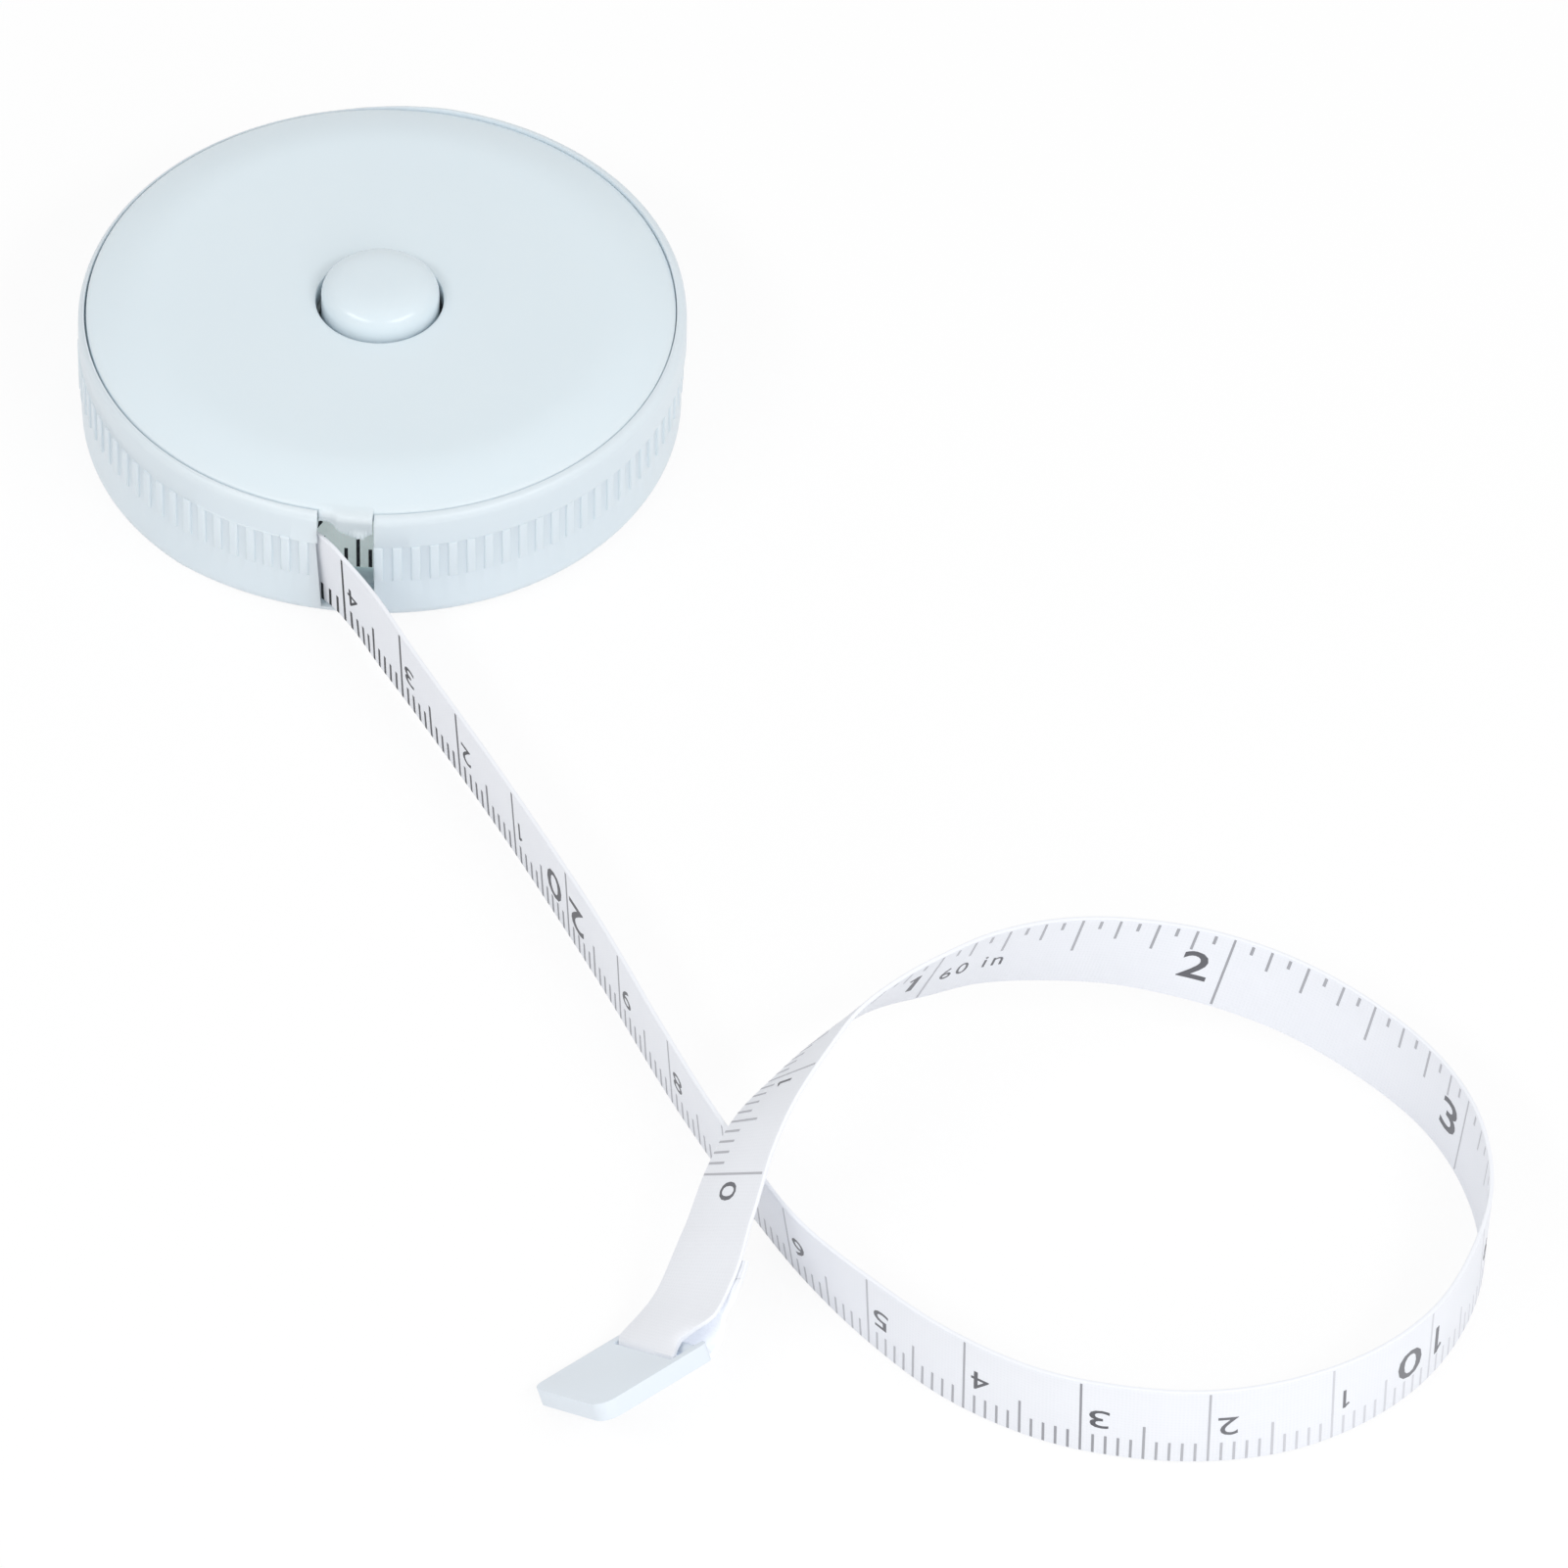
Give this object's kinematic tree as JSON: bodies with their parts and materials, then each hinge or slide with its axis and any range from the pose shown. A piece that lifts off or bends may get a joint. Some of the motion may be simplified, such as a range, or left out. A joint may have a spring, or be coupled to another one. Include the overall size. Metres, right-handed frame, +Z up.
{
  "type": "cloth tape measure",
  "caption": "Pocket sewing tape measure: a round ribbed plastic case with a centre push button, and a printed cloth tape that leaves a side slot and ends in a looped tab.",
  "frame": {"origin": "centre of the case's flat underside", "axes": "+Z up along the case's axis and out of the button; the tape's slot faces -Y; +X to the right when looking along +Y"},
  "size_m": [0.1239, 0.141, 0.016],
  "materials": {
    "shell_plastic": "semi-gloss moulded, pale blue-white",
    "button_plastic": "semi-gloss moulded, pale blue-white",
    "spring_steel": "plain spring steel",
    "brake_rubber": "matt",
    "reel_plastic": "plain moulded",
    "tape_cloth": "coated cloth tape, white, printed with dark grey scales",
    "tab_plastic": "semi-gloss moulded, pale blue-white"
  },
  "bodies": {
    "case": {"housing": "shell_plastic", "top_cover": "shell_plastic", "main_spring": "spring_steel", "button_spring": "spring_steel", "tape_free": "tape_cloth", "tape_tail": "tape_cloth", "end_tab": "tab_plastic"},
    "reel": {"drum": "reel_plastic", "drum_plate": "reel_plastic", "tape_roll": "tape_cloth", "tape_outer_turn": "tape_cloth"},
    "push_button": {"button": "button_plastic", "brake_ring": "brake_rubber"}
  },
  "joints": [
    {"name": "drum_spin", "type": "hinge", "parent": "case", "child": "reel", "pos_m": [0, 0, 0.0054], "axis": [0, 0, 1], "range_deg": [-648, 3744]},
    {"name": "button_press", "type": "slide", "parent": "case", "child": "push_button", "axis": [0, 0, -1], "range_m": [0, 0.0015], "stiffness_N_per_m": 900, "deforming": ["button_spring"]}
  ]
}
